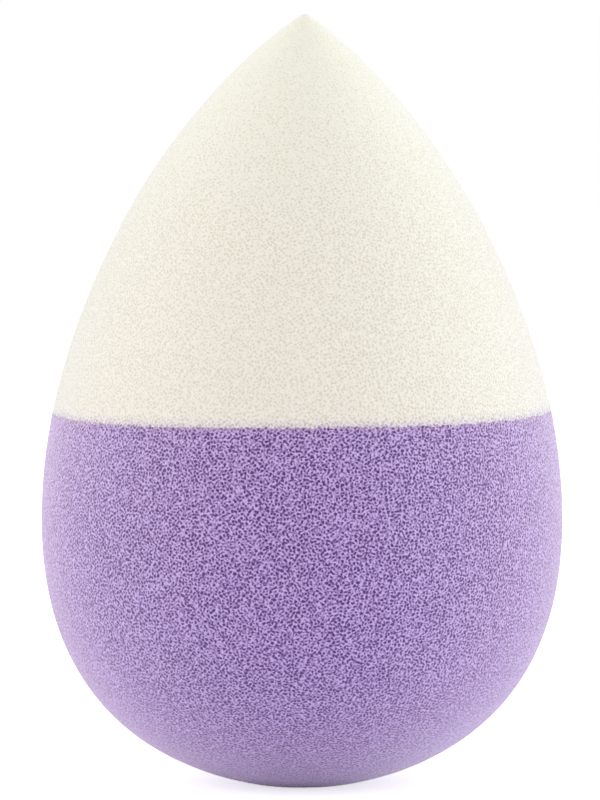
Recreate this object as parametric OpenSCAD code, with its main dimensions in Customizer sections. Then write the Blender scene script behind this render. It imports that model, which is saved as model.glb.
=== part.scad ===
// A two-tone makeup sponge: a teardrop of soft open-cell foam with an ivory tip and a lilac base.
// Two foam blocks are glued face to face, and the teardrop is then ground from the glued block,
// so both foams share one outline and the joint runs straight through it.

/* [Teardrop] */
// Height from the resting face to the top of the tip
sponge_h = 60; // [54:0.5:72]
// Diameter of the belly, which is the widest level
belly_d = 40.7; // [34:0.1:49]
// Height of the belly above the resting face
belly_h = 20.7; // [17:0.1:25]
// Radius that the tip is rounded to
tip_r = 1; // [0.6:0.1:2]
// Angle between the axis and the foam's skin just under the tip
tip_angle = 55; // [44:1:60]

/* [Resting face] */
// Diameter of the face that the soft base settles to under its own weight
rest_d = 8; // [6:0.5:12]
// Angle at which the skin lifts off around the resting face
lift_angle = 11; // [6:1:14]

/* [Glued joint] */
// Height of the joint's middle plane above the resting face
joint_h = 29; // [24:0.5:35]
// Thickness of the glue film
film_t = 0.1; // [0.06:0.01:0.2]
// Distance from the film's edge to the foam's skin, which springs proud of it after grinding
film_inset = 0.4; // [0.2:0.05:1]

/* [Hidden] */
$fn = 144;

// Straight steps in each long curve of the outline, and in the arc round the tip
curve_steps = 30;
tip_steps = 6;

// The outline bends as a drawn spline does: each handle's length is a share of the span that it shapes
base_run_share = 0.48;
base_rise_share = 0.69;
shoulder_share = 0.375;
tip_run_share = 0.342;

ivory = "#F0EBDB";
clear_glue = "#E6DDE6";
lilac = "#A98BC6";

belly_r = belly_d / 2;
rest_r = rest_d / 2;
tip_span = sponge_h - belly_h;
base_span = belly_r - rest_r;

// The level where the straight skin runs into the rounded tip
tip_start = [tip_r * cos(tip_angle), sponge_h - tip_r + tip_r * sin(tip_angle)];
tip_run = tip_run_share * tip_span;

function bezier(p, t) =
    pow(1 - t, 3) * p[0] + 3 * pow(1 - t, 2) * t * p[1] + 3 * (1 - t) * pow(t, 2) * p[2] + pow(t, 3) * p[3];

// From the rim of the resting face, out and up to the belly
base_curve = [
    for (i = [0:curve_steps - 1]) bezier([
        [rest_r, 0],
        [rest_r + base_run_share * base_span * cos(lift_angle), base_run_share * base_span * sin(lift_angle)],
        [belly_r, belly_h * (1 - base_rise_share)],
        [belly_r, belly_h]
    ], i / curve_steps)
];

// From the belly, in and up along the shoulder to the rounded tip
shoulder_curve = [
    for (i = [0:curve_steps - 1]) bezier([
        [belly_r, belly_h],
        [belly_r, belly_h + shoulder_share * tip_span],
        tip_start + tip_run * [sin(tip_angle), -cos(tip_angle)],
        tip_start
    ], i / curve_steps)
];

// Round the tip to its top on the axis
tip_arc = [
    for (i = [0:tip_steps - 1])
        let (a = tip_angle + (90 - tip_angle) * i / tip_steps)
        [tip_r * cos(a), sponge_h - tip_r + tip_r * sin(a)]
];

outline = concat([[0, 0]], base_curve, shoulder_curve, tip_arc, [[0, sponge_h]]);

// Radius of the teardrop at the height of the joint
joint_r = lookup(joint_h, [for (p = concat(base_curve, shoulder_curve)) [p[1], p[0]]]);

// The slice of the teardrop between two heights
module teardrop_slice(from_h, to_h) {
    rotate_extrude()
        intersection() {
            polygon(outline);
            translate([0, from_h])
                square([belly_d, to_h - from_h]);
        }
}

// Ivory foam: the pointed end, for the corners of the eyes and nose
module tip_foam() {
    color(ivory)
        teardrop_slice(joint_h + film_t / 2, sponge_h);
}

// The glue film that bonds the two foams across their whole joint, short of the skin
module bond_film() {
    color(clear_glue)
        translate([0, 0, joint_h - film_t / 2])
            cylinder(h = film_t, r = joint_r - film_inset);
}

// Lilac foam: the round end, for wide strokes, which is also what the sponge stands on
module base_foam() {
    color(lilac)
        teardrop_slice(0, joint_h - film_t / 2);
}

tip_foam();
bond_film();
base_foam();
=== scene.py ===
import math

import bmesh
import bpy
import numpy as np
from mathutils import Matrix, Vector, noise


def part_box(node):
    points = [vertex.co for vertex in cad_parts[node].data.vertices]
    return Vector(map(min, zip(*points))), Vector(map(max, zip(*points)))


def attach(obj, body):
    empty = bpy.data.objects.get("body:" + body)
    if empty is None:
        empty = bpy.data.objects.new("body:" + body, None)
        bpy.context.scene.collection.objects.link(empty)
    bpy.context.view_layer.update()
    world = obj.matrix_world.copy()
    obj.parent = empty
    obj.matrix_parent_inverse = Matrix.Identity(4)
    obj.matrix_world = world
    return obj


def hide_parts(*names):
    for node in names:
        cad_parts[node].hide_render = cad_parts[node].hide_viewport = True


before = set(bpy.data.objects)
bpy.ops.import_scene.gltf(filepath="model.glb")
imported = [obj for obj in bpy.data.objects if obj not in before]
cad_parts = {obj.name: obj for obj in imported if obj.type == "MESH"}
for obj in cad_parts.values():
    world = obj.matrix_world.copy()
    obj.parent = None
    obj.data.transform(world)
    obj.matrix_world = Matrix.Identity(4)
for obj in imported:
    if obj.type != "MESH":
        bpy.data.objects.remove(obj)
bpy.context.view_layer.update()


# Camera: a long lens a little above the sponge, which looks down on it by a few degrees, so that the
# level joint shows as a shallow curve.
SENSOR = 36
PHOTO_H = 800
FOCAL_PIXELS = 5134.3
CAMERA_PLACE = Vector((-0.00016, -0.4, 0.05493))
CAMERA_AIM = Vector((-0.00016, 0, 0.02993))
NEAREST_SEEN = 0.01
camera_data = bpy.data.cameras.new("camera")
camera_data.sensor_width = SENSOR
camera_data.lens = FOCAL_PIXELS * SENSOR / PHOTO_H
camera_data.clip_start = NEAREST_SEEN
camera = bpy.data.objects.new("camera", camera_data)
bpy.context.scene.collection.objects.link(camera)
camera.location = CAMERA_PLACE
camera.rotation_euler = (CAMERA_AIM - CAMERA_PLACE).to_track_quat("-Z", "Y").to_euler()
bpy.context.scene.camera = camera


# Tip foam: the ivory block of open-cell polyurethane, ground to the point that reaches the corners of
# the eyes and nose. The blank is ground with both foams in it, so its outline and its pores run on across
# the joint, and the tip is what lies above the joint.
tip_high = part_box("tip_foam")[1]
base_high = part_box("base_foam")[1]
film_low, film_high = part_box("bond_film")
SPONGE_H = tip_high.z
BELLY_R = base_high.x
JOINT_H = (film_low.z + film_high.z) / 2
# The height of the belly, which is the widest level
BELLY_H = 0.0207
# The tip's rounding, and the slope of the skin just under it
TIP_R = 0.0006
TIP_ANGLE = math.radians(55)
# The resting face, and the angle at which the skin lifts off round it
REST_R = 0.004
LIFT_ANGLE = math.radians(11)
# Each handle of the outline's two curves, as a share of the span that it shapes
BASE_RUN_SHARE = 0.48
BASE_RISE_SHARE = 0.69
SHOULDER_SHARE = 0.375
TIP_RUN_SHARE = 0.342
CURVE_STEPS = 400
TIP_STEPS = 40


def bezier(start, start_handle, end_handle, end):
    """Points of a cubic curve, from its start up to but not including its end."""
    t = np.linspace(0, 1, CURVE_STEPS, endpoint=False)[:, None]
    shares = ((1 - t) ** 3, 3 * (1 - t) ** 2 * t, 3 * (1 - t) * t**2, t**3)
    points = (start, start_handle, end_handle, end)
    return sum(share * np.array(point) for share, point in zip(shares, points))


def ground_outline():
    """The teardrop's outline as (radius, height), from the middle of the resting face to the tip."""
    base_span = BELLY_R - REST_R
    tip_span = SPONGE_H - BELLY_H
    tip_start = np.array([TIP_R * math.cos(TIP_ANGLE), SPONGE_H - TIP_R + TIP_R * math.sin(TIP_ANGLE)])
    tip_slope = np.array([math.sin(TIP_ANGLE), -math.cos(TIP_ANGLE)])
    rest_face = np.linspace([0, 0], [REST_R, 0], CURVE_STEPS, endpoint=False)
    base_run = BASE_RUN_SHARE * base_span
    base_curve = bezier(
        [REST_R, 0],
        [REST_R + base_run * math.cos(LIFT_ANGLE), base_run * math.sin(LIFT_ANGLE)],
        [BELLY_R, BELLY_H * (1 - BASE_RISE_SHARE)],
        [BELLY_R, BELLY_H],
    )
    shoulder_curve = bezier(
        [BELLY_R, BELLY_H],
        [BELLY_R, BELLY_H + SHOULDER_SHARE * tip_span],
        tip_start + TIP_RUN_SHARE * tip_span * tip_slope,
        tip_start,
    )
    turn = np.linspace(TIP_ANGLE, math.pi / 2, TIP_STEPS)
    tip_arc = np.stack([TIP_R * np.cos(turn), SPONGE_H - TIP_R + TIP_R * np.sin(turn)], axis=1)
    return np.concatenate([rest_face, base_curve, shoulder_curve, tip_arc])


BALL_SUBDIVISIONS = 8
# The tip leans aside above this height, because the grinding wheel pushes the soft point over
LEAN_FROM = 0.045
TIP_LEAN = 0.0002
# A point this near the axis counts as this far from it, so that it still has a way outward
ON_AXIS = 1e-9


def point_places(mesh):
    """The places of a mesh's points, one to a row."""
    places = np.empty(3 * len(mesh.vertices))
    mesh.vertices.foreach_get("co", places)
    return places.reshape(-1, 3)


def grind_blank():
    """The whole teardrop as one closed skin, with each point's share of the way from base to tip."""
    outline = ground_outline()
    step = np.diff(outline, axis=0)
    length = np.hypot(step[:, 0], step[:, 1])
    band_area = (outline[1:, 0] + outline[:-1, 0]) * length
    area_share = np.concatenate([[0], np.cumsum(band_area)]) / band_area.sum()
    reach = np.concatenate([[0], np.cumsum(length)]) / length.sum()

    ball = bmesh.new()
    bmesh.ops.create_icosphere(ball, subdivisions=BALL_SUBDIVISIONS, radius=1)
    blank = bpy.data.meshes.new("blank")
    ball.to_mesh(blank)
    ball.free()
    at = point_places(blank)
    # The share of the ball's skin below a point grows evenly with the point's height. The point moves to
    # the level of the sponge that has the same share of skin below it, so the points stay evenly spread.
    share = np.clip((1 + at[:, 2]) / 2, 0, 1)
    away = at[:, :2] / np.maximum(np.hypot(at[:, 0], at[:, 1]), ON_AXIS)[:, None]
    height = np.interp(share, area_share, outline[:, 1])
    skin = np.column_stack([away * np.interp(share, area_share, outline[:, 0])[:, None], height])
    skin[:, 0] += TIP_LEAN * np.clip((height - LEAN_FROM) / (SPONGE_H - LEAN_FROM), 0, 1) ** 2
    blank.vertices.foreach_set("co", skin.ravel())
    along = blank.attributes.new("reach", "FLOAT", "POINT")
    along.data.foreach_set("value", np.interp(share, area_share, reach))
    return blank


def feed(tree, term, socket):
    """Gives a node's socket what it works on: a number, a vector, a colour or another node's result."""
    if isinstance(term, bpy.types.NodeSocket):
        tree.links.new(term, socket)
    else:
        socket.default_value = term


def math_node(tree, operation, *terms):
    """The result of one sum."""
    node = tree.nodes.new("ShaderNodeMath")
    node.operation = operation
    for socket, term in zip(node.inputs, terms):
        feed(tree, term, socket)
    return node.outputs["Value"]


def run_between(tree, value, start, end, first, last):
    """A number that runs from the first to the last while the value runs from start to end."""
    node = tree.nodes.new("ShaderNodeMapRange")
    tree.links.new(value, node.inputs["Value"])
    node.inputs["From Min"].default_value = start
    node.inputs["From Max"].default_value = end
    node.inputs["To Min"].default_value = first
    node.inputs["To Max"].default_value = last
    return node.outputs["Result"]


def texture_node(tree, kind, size, place):
    """A texture of features of one size, read at a place."""
    node = tree.nodes.new(kind)
    node.inputs["Scale"].default_value = 1 / size
    tree.links.new(place, node.inputs["Vector"])
    return node


# The foam's cells and the ruffles of their torn walls. The eye looks down through the lace of struts, so
# both are read in layers below the skin. Their shares add up to the depth of a pore, and the shift sets
# how much of the skin stays as struts. The sponge is cut aslant from its block.
CELL_SIZE = 0.00028
CELL_SCATTER = 0.85
CELL_LAYERS = 2
CELL_SHARE = 1.9
RUFFLE_SIZE = 0.00018
RUFFLE_LAYERS = 3
RUFFLE_SHARE = 2.3
LAYER_STEP = 0.00012
DEPTH_SHIFT = -1.15
BLOCK_TURN = (0.7, 0.5, 0.9)
# How deep the skin sinks where it cuts a cell open, and how far the hand at the wheel wanders
PORE_DEPTH = 0.00003
HAND_WAVE = 0.009
HAND_WANDER = 0.00008
# From this height up the pores grow shallower towards the point, to this share of their depth at the very
# tip, so the tip shows less painted pore shade
CLOSE_FROM = 0.043
TIP_OPEN = 0.5


def height_of(tree, place):
    """How high a place is above the resting face."""
    parts = tree.nodes.new("ShaderNodeSeparateXYZ")
    tree.links.new(place, parts.inputs["Vector"])
    return parts.outputs["Z"]


def turn_in_block(tree, vector):
    """A vector as it stood in the block of foam."""
    turn = tree.nodes.new("ShaderNodeVectorRotate")
    turn.rotation_type = "EULER_XYZ"
    turn.inputs["Rotation"].default_value = BLOCK_TURN
    feed(tree, vector, turn.inputs["Vector"])
    return turn.outputs["Vector"]


def look_down(tree, place, inward, layer):
    """The place that lies this many layers below the skin."""
    lower = tree.nodes.new("ShaderNodeVectorMath")
    lower.operation = "MULTIPLY_ADD"
    for socket, term in zip(lower.inputs, (inward, (layer * LAYER_STEP,) * 3, place)):
        feed(tree, term, socket)
    return lower.outputs["Vector"]


def add_pores(tree, place, inward):
    """Nodes that give how deep a cut cell is at a place, from 0 on a strut to 1 in the middle of a pore."""
    place_in_block = turn_in_block(tree, place)
    inward_in_block = turn_in_block(tree, inward)
    lace = DEPTH_SHIFT
    for layer in range(CELL_LAYERS):
        lower = look_down(tree, place_in_block, inward_in_block, layer)
        nearest = texture_node(tree, "ShaderNodeTexVoronoi", CELL_SIZE, lower)
        second = texture_node(tree, "ShaderNodeTexVoronoi", CELL_SIZE, lower)
        second.feature = "F2"
        for cells in (nearest, second):
            cells.inputs["Randomness"].default_value = CELL_SCATTER
        gap = math_node(tree, "SUBTRACT", second.outputs["Distance"], nearest.outputs["Distance"])
        lace = math_node(tree, "MULTIPLY_ADD", gap, CELL_SHARE / CELL_LAYERS, lace)
    for layer in range(RUFFLE_LAYERS):
        lower = look_down(tree, place_in_block, inward_in_block, layer)
        ruffle = texture_node(tree, "ShaderNodeTexNoise", RUFFLE_SIZE, lower)
        ruffle.inputs["Detail"].default_value = 0
        lace = math_node(tree, "MULTIPLY_ADD", ruffle.outputs["Fac"], RUFFLE_SHARE / RUFFLE_LAYERS, lace)
    depth = tree.nodes.new("ShaderNodeClamp")
    tree.links.new(lace, depth.inputs["Value"])
    # Shallower pores towards the tip, so less painted pore shade there
    open_share = run_between(tree, height_of(tree, place), CLOSE_FROM, SPONGE_H, 1, TIP_OPEN)
    return math_node(tree, "MULTIPLY", depth.outputs["Result"], open_share)


def scaled(tree, vector, factor):
    """A vector drawn out or in by a factor."""
    node = tree.nodes.new("ShaderNodeVectorMath")
    node.operation = "SCALE"
    feed(tree, vector, node.inputs["Vector"])
    feed(tree, factor, node.inputs["Scale"])
    return node.outputs["Vector"]


def keep_on_skin(tree, skin, name, vector):
    """The skin with a vector kept at each of its points, under a name that a material can read."""
    keep = tree.nodes.new("GeometryNodeStoreNamedAttribute")
    keep.data_type = "FLOAT_VECTOR"
    keep.inputs["Name"].default_value = name
    tree.links.new(skin, keep.inputs["Geometry"])
    tree.links.new(vector, keep.inputs["Value"])
    return keep.outputs["Geometry"]


def open_pores(blank):
    """The blank with its pores sunk into its skin, and with each point's ground place and way inward."""
    tree = bpy.data.node_groups.new("open pores", "GeometryNodeTree")
    tree.interface.new_socket("Geometry", in_out="INPUT", socket_type="NodeSocketGeometry")
    tree.interface.new_socket("Geometry", in_out="OUTPUT", socket_type="NodeSocketGeometry")
    place = tree.nodes.new("GeometryNodeInputPosition").outputs["Position"]
    inward = scaled(tree, tree.nodes.new("GeometryNodeInputNormal").outputs["Normal"], -1)
    hand = texture_node(tree, "ShaderNodeTexNoise", HAND_WAVE, place)
    hand_sink = math_node(tree, "MULTIPLY_ADD", hand.outputs["Fac"], HAND_WANDER, -HAND_WANDER / 2)
    sink = math_node(tree, "MULTIPLY_ADD", add_pores(tree, place, inward), PORE_DEPTH, hand_sink)
    uncut = tree.nodes.new("NodeGroupInput").outputs["Geometry"]
    marked = keep_on_skin(tree, keep_on_skin(tree, uncut, "ground", place), "inward", inward)
    move = tree.nodes.new("GeometryNodeSetPosition")
    tree.links.new(marked, move.inputs["Geometry"])
    tree.links.new(scaled(tree, inward, sink), move.inputs["Offset"])
    result = tree.nodes.new("NodeGroupOutput")
    tree.links.new(move.outputs["Geometry"], result.inputs["Geometry"])

    # The nodes work on the blank once, and what they leave is a plain mesh
    holder = bpy.data.objects.new("blank", blank)
    bpy.context.scene.collection.objects.link(holder)
    holder.modifiers.new("pores", "NODES").node_group = tree
    cut = holder.evaluated_get(bpy.context.evaluated_depsgraph_get())
    ground = bpy.data.meshes.new_from_object(cut)
    bpy.data.objects.remove(holder)
    return ground


# The wavering line that the two foams meet along: pore by pore, in the four slight waves that the clamp
# left, and in one slight tilt
SEAM_WAVER = 0.00015
SEAM_WAVE = 0.0003
SEAM_BOW = 0.00004
SEAM_BOWS = 4
SEAM_TILT = math.tan(math.radians(0.35))
# How far from the joint the skin follows that line
SEAM_REACH = 0.001
# The glued faces meet the film at its edge and at its two sides
FILM_EDGE = film_high.x
FILM_HALF = (film_high.z - film_low.z) / 2
# A point this near the cut is taken to lie on it
CUT_SNAP = 1e-6


def seam_rise(vertex):
    """How far the seam runs above the joint's middle plane at this vertex."""
    level = Vector((vertex.co.x, vertex.co.y, 0))
    bow = SEAM_BOW * math.cos(SEAM_BOWS * math.atan2(level.y, level.x))
    return bow + SEAM_TILT * level.x + SEAM_WAVER * noise.noise(level / SEAM_WAVE)


def part_at_joint(blank, keep_top):
    """The half of the blank on one side of the joint, closed by the face that was glued."""
    half = bmesh.new()
    half.from_mesh(blank)
    ground = half.verts.layers.float_vector["ground"]
    from_seam = half.verts.layers.float.new("from seam")
    for v in half.verts:
        if abs(v.co.z - JOINT_H) < SEAM_REACH:
            v.co.z -= seam_rise(v)
    cut = bmesh.ops.bisect_plane(
        half,
        geom=half.verts[:] + half.edges[:] + half.faces[:],
        dist=CUT_SNAP,
        plane_co=(0, 0, JOINT_H),
        plane_no=(0, 0, 1),
        clear_outer=not keep_top,
        clear_inner=keep_top,
    )
    rim = [e for e in cut["geom_cut"] if isinstance(e, bmesh.types.BMEdge)]
    for v in half.verts:
        v[from_seam] = min(abs(v.co.z - JOINT_H), SEAM_REACH)
        if v[from_seam] < SEAM_REACH:
            v.co.z += seam_rise(v)
    glued = bmesh.ops.contextual_create(half, geom=rim)["faces"][0]
    inset = max(math.hypot(v.co.x, v.co.y) for v in glued.verts) - FILM_EDGE
    bmesh.ops.inset_region(half, faces=[glued], thickness=inset, use_boundary=True, use_even_offset=False)
    for v in glued.verts:
        v.co.z = JOINT_H + (FILM_HALF if keep_top else -FILM_HALF)
        v[ground] = v.co
    bmesh.ops.recalc_face_normals(half, faces=half.faces[:])
    return half


# The flat layout of a half for the bake: its skin fills one disc, and its glued face a corner beside it
LAYOUT_MIDDLE = 0.5
LAYOUT_R = 0.49
GLUED_LAYOUT_R = 0.06


def foam_piece(name, blank, keep_top):
    """One half of the blank as an object, smooth, and laid out flat for the bake in rings round its pole."""
    half = part_at_joint(blank, keep_top)
    mesh = bpy.data.meshes.new(name)
    half.to_mesh(mesh)
    half.free()
    mesh.shade_smooth()
    place = point_places(mesh)
    reach = np.empty(len(mesh.vertices))
    mesh.attributes["reach"].data.foreach_get("value", reach)
    if keep_top:
        reach = 1 - reach
    flat_r = np.maximum(np.hypot(place[:, 0], place[:, 1]), ON_AXIS)
    skin_uv = LAYOUT_MIDDLE + place[:, :2] * (LAYOUT_R * reach / reach.max() / flat_r)[:, None]
    corner_vertex = np.empty(len(mesh.loops), int)
    mesh.loops.foreach_get("vertex_index", corner_vertex)
    uv = skin_uv[corner_vertex]
    # The glued face is the one with the most corners
    glued = max(mesh.polygons, key=lambda face: len(face.vertices))
    corners = list(glued.loop_indices)
    uv[corners] = GLUED_LAYOUT_R * (1 + place[corner_vertex[corners], :2] / FILM_EDGE)
    mesh.uv_layers.new(name="OFBake").data.foreach_set("uv", uv.ravel())
    piece = bpy.data.objects.new(name, mesh)
    bpy.context.scene.collection.objects.link(piece)
    return piece


# Foam sets a little denser in some places than in others, in clouds of this size and share of the depth
CLOUD_SIZE = 0.006
CLOUD_SHARE = 0.06
# How deep a pore is where its colour is the painted shade of a cell's wall, and where it is the darker
# painted shade of the pit
WALL_DEPTH = 0.42
PIT_DEPTH = 0.75
BUMP_DEPTH = 0.00005
BUMP_STRENGTH = 0.5


def shade_pores(tree, place, inward, strut, shaded_wall, shaded_pit, strut_roughness, pit_roughness):
    """Roughness and bump that follow the pores, and a colour that darkens with their depth as painted shade.
    Gives how deep they are, and that colour.
    """
    shader = tree.nodes["Principled BSDF"]
    depth = add_pores(tree, place, inward)
    cloud = texture_node(tree, "ShaderNodeTexNoise", CLOUD_SIZE, place)
    shift = math_node(tree, "MULTIPLY_ADD", cloud.outputs["Fac"], CLOUD_SHARE, -CLOUD_SHARE / 2)
    clouded = math_node(tree, "ADD", depth, shift)
    # The colour darkens from the strut's own colour with a pore's depth: painted shade in the pores
    ramp = tree.nodes.new("ShaderNodeValToRGB")
    colours = ramp.color_ramp.elements
    colours[0].color = strut
    colours[1].position = PIT_DEPTH
    colours[1].color = shaded_pit
    colours.new(WALL_DEPTH).color = shaded_wall
    tree.links.new(clouded, ramp.inputs["Fac"])
    roughness = run_between(tree, clouded, 0, 1, strut_roughness, pit_roughness)
    tree.links.new(roughness, shader.inputs["Roughness"])
    bump = tree.nodes.new("ShaderNodeBump")
    bump.invert = True
    bump.inputs["Strength"].default_value = BUMP_STRENGTH
    bump.inputs["Distance"].default_value = BUMP_DEPTH
    tree.links.new(depth, bump.inputs["Height"])
    tree.links.new(bump.outputs["Normal"], shader.inputs["Normal"])
    return depth, ramp.outputs["Color"]


def read_from_skin(tree, name):
    """What the skin keeps at its points under a name."""
    kept = tree.nodes.new("ShaderNodeAttribute")
    kept.attribute_name = name
    return kept.outputs


def mix_colours(tree, share, first, second):
    """A colour that runs from the first to the second as the share runs from 0 to 1."""
    mix = tree.nodes.new("ShaderNodeMix")
    mix.data_type = "RGBA"
    feed(tree, share, mix.inputs["Factor"])
    feed(tree, first, mix.inputs["A"])
    feed(tree, second, mix.inputs["B"])
    return mix.outputs["Result"]


# Foam has next to no gloss. The ends of its cut struts stand up like down, which catches light at the
# sponge's edge.
FOAM_GLOSS = 0.04
DOWN_ROUGHNESS = 0.6
# How fast the stain along the joint fades
STAIN_FALL = 2


def foam_material(name, strut, shaded_wall, shaded_pit, down_tint, down_weight, stained_strut, stained_shaded_pit, stain_reach):
    """Matt open-cell foam, painted darker in its pores as shade, faintly downy where its struts are cut, and
    stained next to the joint.
    """
    material = bpy.data.materials.new(name)
    material.use_nodes = True
    tree = material.node_tree
    shader = tree.nodes["Principled BSDF"]
    shader.inputs["Specular IOR Level"].default_value = FOAM_GLOSS
    shader.inputs["Sheen Weight"].default_value = down_weight
    shader.inputs["Sheen Roughness"].default_value = DOWN_ROUGHNESS
    shader.inputs["Sheen Tint"].default_value = down_tint
    depth, clean = shade_pores(
        tree,
        read_from_skin(tree, "ground")["Vector"],
        read_from_skin(tree, "inward")["Vector"],
        strut,
        shaded_wall,
        shaded_pit,
        strut_roughness=0.85,
        pit_roughness=0.95,
    )
    near = run_between(tree, read_from_skin(tree, "from seam")["Fac"], stain_reach, 0, 0, 1)
    # Next to the joint the stain takes over; its darker colour deep in the pores is painted pore shade as
    # well as stain
    stained_and_shaded = mix_colours(tree, depth, stained_strut, stained_shaded_pit)
    colour = mix_colours(tree, math_node(tree, "POWER", near, STAIN_FALL), clean, stained_and_shaded)
    tree.links.new(colour, shader.inputs["Base Color"])
    return material


blank = open_pores(grind_blank())
tip = foam_piece("ivory_tip", blank, keep_top=True)
# Grinding carries lilac dust a millimetre up into the ivory's pores
tip.data.materials.append(
    foam_material(
        "ivory foam",
        strut=(0.837, 0.825, 0.692, 1),
        # The wall and pit colours are painted shade in the pores, darker with depth
        shaded_wall=(0.80, 0.776, 0.634, 1),
        shaded_pit=(0.712, 0.662, 0.505, 1),
        down_tint=(0.85, 0.93, 1, 1),
        down_weight=0.38,
        stained_strut=(0.76, 0.725, 0.715, 1),
        # The stained pit colour is painted pore shade as well as lilac dust
        stained_shaded_pit=(0.38, 0.27, 0.37, 1),
        stain_reach=0.001,
    )
)
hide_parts("tip_foam")
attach(tip, "root")


# Glue film: one coat of soft polyurethane glue, rolled onto a block before the other is pressed on. It
# dries to a dull skin that keeps the print of the cells on either side, and it stops short of the
# sponge's skin, because the cut foam springs proud of it.
INTO_FILM = (0, 0, -1)
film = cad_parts["bond_film"]
glue = bpy.data.materials.new("glue")
glue.use_nodes = True
glue_tree = glue.node_tree
glue_colour = shade_pores(
    glue_tree,
    glue_tree.nodes.new("ShaderNodeTexCoord").outputs["Object"],
    INTO_FILM,
    strut=(0.80, 0.74, 0.80, 1),
    # The wall and pit colours are painted shade in the hollows of the cells' print
    shaded_wall=(0.75, 0.68, 0.76, 1),
    shaded_pit=(0.66, 0.58, 0.69, 1),
    strut_roughness=0.6,
    pit_roughness=0.38,
)[1]
glue_tree.links.new(glue_colour, glue_tree.nodes["Principled BSDF"].inputs["Base Color"])
for slot in film.material_slots:
    slot.material = glue


# Base foam: the lilac block of open-cell polyurethane, ground in one piece with the tip to the round end
# for wide strokes. Glue has darkened the pores along its rim.
base = foam_piece("lilac_base", blank, keep_top=False)
base.data.materials.append(
    foam_material(
        "lilac foam",
        strut=(0.56, 0.43, 0.692, 1),
        # The wall and pit colours are painted shade in the pores, darker with depth
        shaded_wall=(0.27, 0.158, 0.39, 1),
        shaded_pit=(0.05, 0.002, 0.115, 1),
        down_tint=(1, 0.90, 1, 1),
        down_weight=1.0,
        stained_strut=(0.55, 0.385, 0.62, 1),
        # The stained pit colour is painted pore shade as well as glue stain
        stained_shaded_pit=(0.06, 0.0, 0.04, 1),
        stain_reach=0.0005,
    )
)
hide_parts("base_foam")
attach(base, "root")


# Floor and studio: a matt white sheet under the sponge, even light from all round, and three soft boxes.
# The left one is warm, the right one is a little stronger and cool, and the one above is faint.
SHEET_HALF = 1.5
# The sheet is white to the eye, and it throws a faint lilac light back up at the sponge
SHEET_WHITE = (1, 1, 1, 1)
SHEET_BOUNCE = (0.86, 0.78, 1, 1)
SHEET_GLOW = 0.65
grid = bmesh.new()
bmesh.ops.create_grid(grid, x_segments=1, y_segments=1, size=SHEET_HALF)
sheet_mesh = bpy.data.meshes.new("floor")
grid.to_mesh(sheet_mesh)
grid.free()
sheet = bpy.data.objects.new("floor", sheet_mesh)
bpy.context.scene.collection.objects.link(sheet)
sheet_material = bpy.data.materials.new("white floor")
sheet_material.use_nodes = True
sheet_tree = sheet_material.node_tree
# 1 on a ray from the camera, or on one that a glossy or clear surface sends on, and otherwise 0
ray = sheet_tree.nodes.new("ShaderNodeLightPath").outputs
seen = math_node(sheet_tree, "MAXIMUM", ray["Is Camera Ray"], ray["Is Glossy Ray"])
seen = math_node(sheet_tree, "MAXIMUM", seen, ray["Is Transmission Ray"])
sheet_shader = sheet_tree.nodes["Principled BSDF"]
sheet_shader.inputs["Specular IOR Level"].default_value = 0
sheet_shader.inputs["Emission Color"].default_value = SHEET_WHITE
sheet_colour = mix_colours(sheet_tree, seen, SHEET_BOUNCE, SHEET_WHITE)
sheet_tree.links.new(sheet_colour, sheet_shader.inputs["Base Color"])
sheet_glow = math_node(sheet_tree, "MULTIPLY", seen, SHEET_GLOW)
sheet_tree.links.new(sheet_glow, sheet_shader.inputs["Emission Strength"])
sheet.data.materials.append(sheet_material)

world = bpy.data.worlds.new("studio")
world.use_nodes = True
bpy.context.scene.world = world
background = world.node_tree.nodes["Background"]
background.inputs["Color"].default_value = (1, 1, 1, 1)
background.inputs["Strength"].default_value = 1


def add_lamp(name, place, width, height, watts, colour):
    """A soft box that faces the sponge's belly."""
    lamp_data = bpy.data.lights.new(name, "AREA")
    lamp_data.shape = "RECTANGLE"
    lamp_data.size = width
    lamp_data.size_y = height
    lamp_data.energy = watts
    lamp_data.color = colour
    lamp = bpy.data.objects.new(name, lamp_data)
    bpy.context.scene.collection.objects.link(lamp)
    lamp.location = place
    lamp.rotation_euler = (Vector((0, 0, BELLY_H)) - Vector(place)).to_track_quat("-Z", "Y").to_euler()


add_lamp("left_lamp", (-0.45, 0, 0.08), width=0.4, height=0.14, watts=0.47, colour=(0.99, 0.985, 0.965))
add_lamp("right_lamp", (0.45, 0, 0.05), width=0.4, height=0.09, watts=0.70, colour=(0.86, 0.95, 1))
add_lamp("top_lamp", (0, 0, 0.6), width=0.3, height=0.3, watts=0.10, colour=(0.88, 0.94, 1))
bpy.context.scene.view_settings.view_transform = "Standard"
